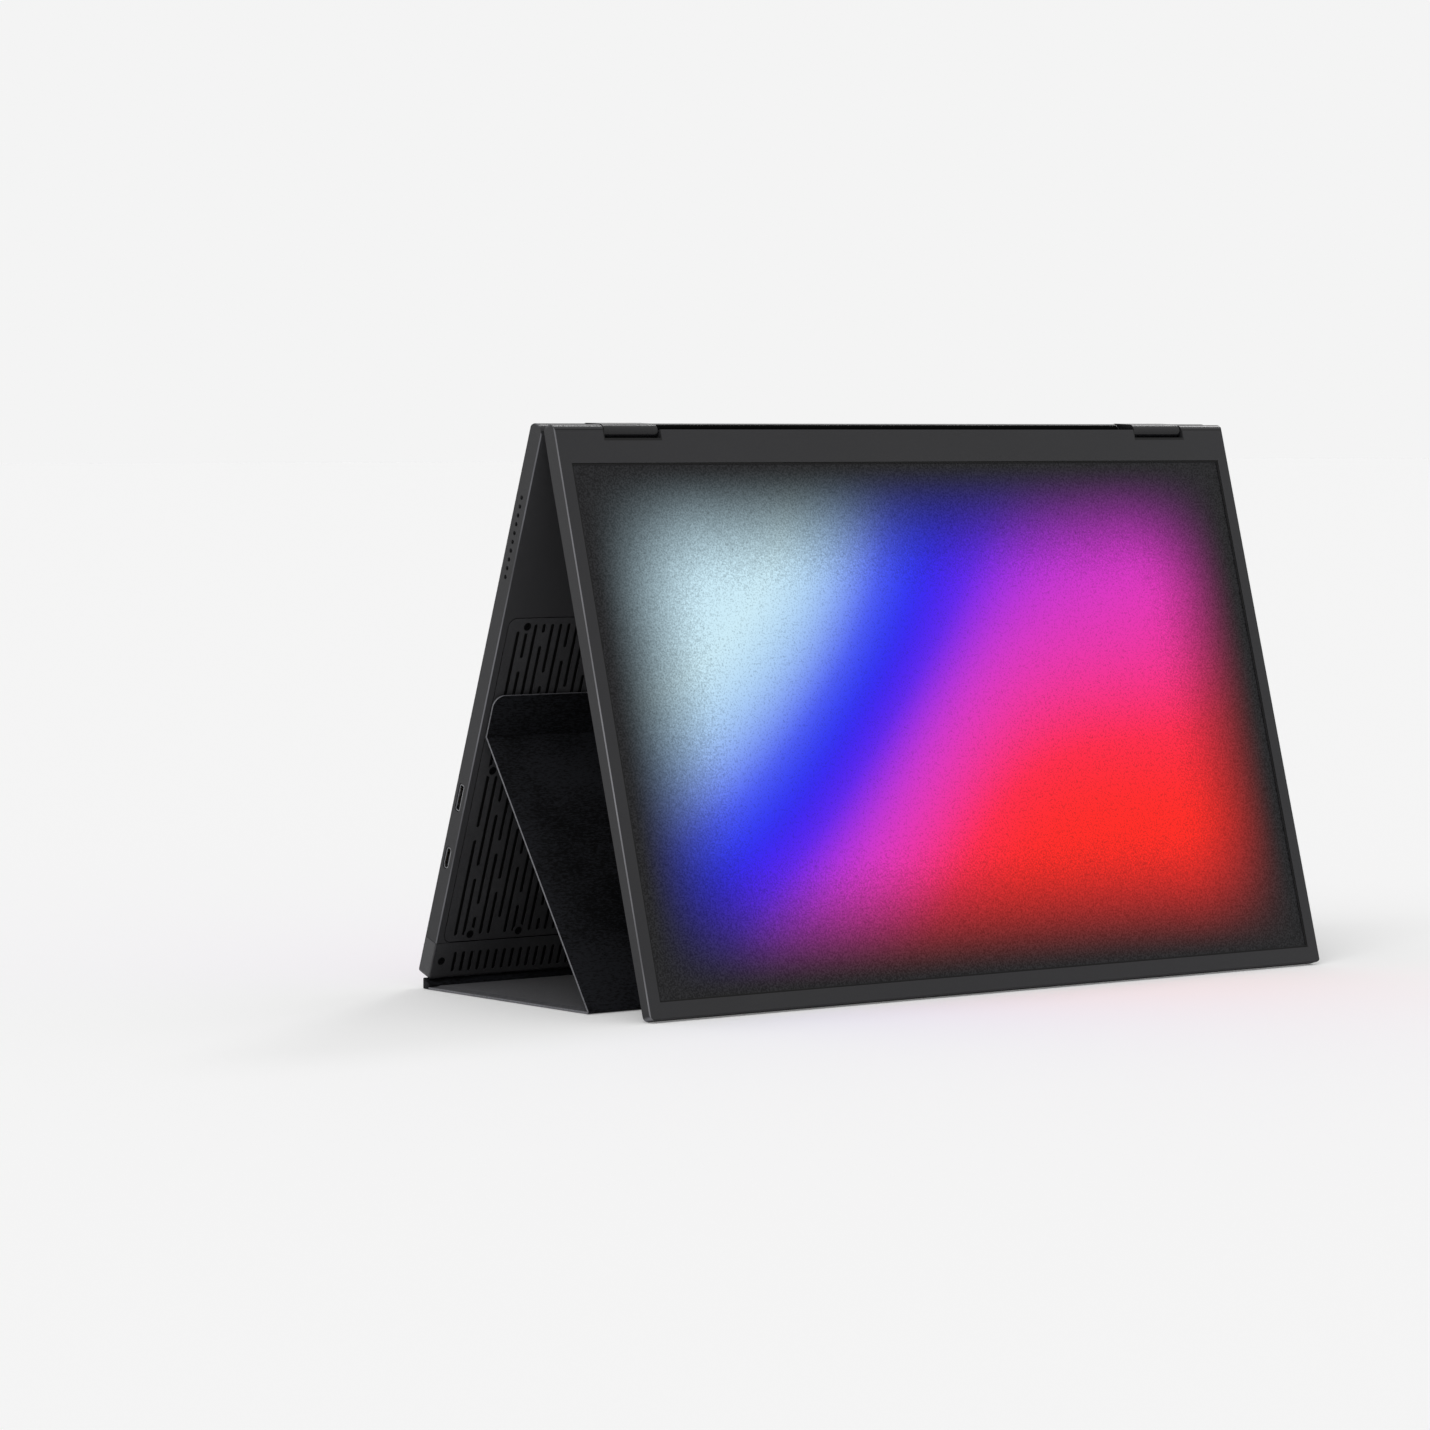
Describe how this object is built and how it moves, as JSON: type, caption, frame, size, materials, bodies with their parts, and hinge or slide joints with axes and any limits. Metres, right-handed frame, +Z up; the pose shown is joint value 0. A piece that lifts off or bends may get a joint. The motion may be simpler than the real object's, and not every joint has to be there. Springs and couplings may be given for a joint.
{
  "type": "portable dual-screen monitor with cover",
  "caption": "Portable monitor with two screens on a folding hinge and a fabric cover that props it; stands as a tent on a desk.",
  "frame": {"origin": "on the desk, under the middle of the model's bounding box", "axes": "+X along the hinge, -Y out of the flip screen towards its viewer, +Z up from the desk"},
  "size_m": [0.3576, 0.1602, 0.2311],
  "materials": {
    "housing": "satin",
    "bezel": "satin",
    "knuckle": "satin",
    "vented_back": "matte",
    "display_glass": "glossy",
    "backlight": "satin",
    "circuit_board": "satin",
    "ribbon": "satin",
    "black_plastic": "matte",
    "socket_steel": "brushed",
    "hinge_steel": "brushed",
    "black_screw": "satin",
    "magnet": "satin",
    "rubber": "matte",
    "cover_fabric": "woven",
    "stiffener": "matte"
  },
  "bodies": {
    "main_panel": {"main_bezel": "bezel", "main_display": "display_glass", "main_backlight": "backlight", "main_back_shell": "housing", "vent_plate": "vented_back", "bottom_cap": "vented_back", "main_circuit_board": "circuit_board", "main_driver_board": "circuit_board", "main_ribbon_cable": "ribbon", "speakers": "black_plastic", "usb_c_port": "socket_steel", "mini_video_port": "socket_steel", "switch_board": "circuit_board", "back_magnets": "magnet", "vent_plate_screws": "black_screw", "bottom_cap_screws": "black_screw", "board_screws": "hinge_steel", "screen_bumpers": "rubber", "main_hinge_leaves": "hinge_steel", "main_hinge_shafts": "hinge_steel", "main_leaf_screws": "hinge_steel", "cover_spine": "cover_fabric"},
    "hinge_link": {"knuckle_shells": "knuckle", "friction_blocks": "hinge_steel"},
    "flip_panel": {"flip_bezel": "bezel", "flip_display": "display_glass", "flip_backlight": "backlight", "flip_back_shell": "housing", "flip_driver_board": "circuit_board", "flip_ribbon_cable": "ribbon", "flip_hinge_leaves": "hinge_steel", "flip_hinge_shafts": "hinge_steel", "flip_leaf_screws": "hinge_steel"},
    "floor_flap": {"flap_sleeve": "cover_fabric", "flap_board": "stiffener"},
    "riser": {"riser_sleeve": "cover_fabric", "riser_board": "stiffener"},
    "magnet_strip": {"strip_sleeve": "cover_fabric", "strip_magnets": "magnet"},
    "power_key": {"power_button": "housing"},
    "menu_key": {"menu_button": "housing"}
  },
  "joints": [
    {"name": "link_turn", "type": "hinge", "parent": "main_panel", "child": "hinge_link", "pos_m": [0, -0.00444, 0.22798], "axis": [-1, 0, 0], "range_deg": [-3, 162]},
    {"name": "flip_turn", "type": "hinge", "parent": "hinge_link", "child": "flip_panel", "pos_m": [0, -0.01353, 0.22762], "axis": [-1, 0, 0], "range_deg": [-3, 162]},
    {"name": "flap_fold", "type": "hinge", "parent": "main_panel", "child": "floor_flap", "pos_m": [0, 0.0714, 0.0009], "axis": [-1, 0, 0], "range_deg": [0, 25]},
    {"name": "riser_fold", "type": "hinge", "parent": "floor_flap", "child": "riser", "pos_m": [0, -0.0392, 0.0009], "axis": [-1, 0, 0], "range_deg": [-45.3, 1]},
    {"name": "strip_fold", "type": "hinge", "parent": "riser", "child": "magnet_strip", "pos_m": [0, 0.03471, 0.10492], "axis": [-1, 0, 0], "range_deg": [-1, 20.3]},
    {"name": "power_press", "type": "slide", "parent": "main_panel", "child": "power_key", "axis": [-1, 0, 0], "range_m": [0, 0.0005], "stiffness_N_per_m": 800, "springref_m": -0.0005},
    {"name": "menu_press", "type": "slide", "parent": "main_panel", "child": "menu_key", "axis": [-1, 0, 0], "range_m": [0, 0.0005], "stiffness_N_per_m": 800, "springref_m": -0.0005}
  ],
  "couplings": [
    {"joint": "flip_turn", "follows": "link_turn", "ratio": 1},
    {"joint": "riser_fold", "follows": "flap_fold", "ratio": -1.7914},
    {"joint": "strip_fold", "follows": "flap_fold", "ratio": 0.7914}
  ]
}
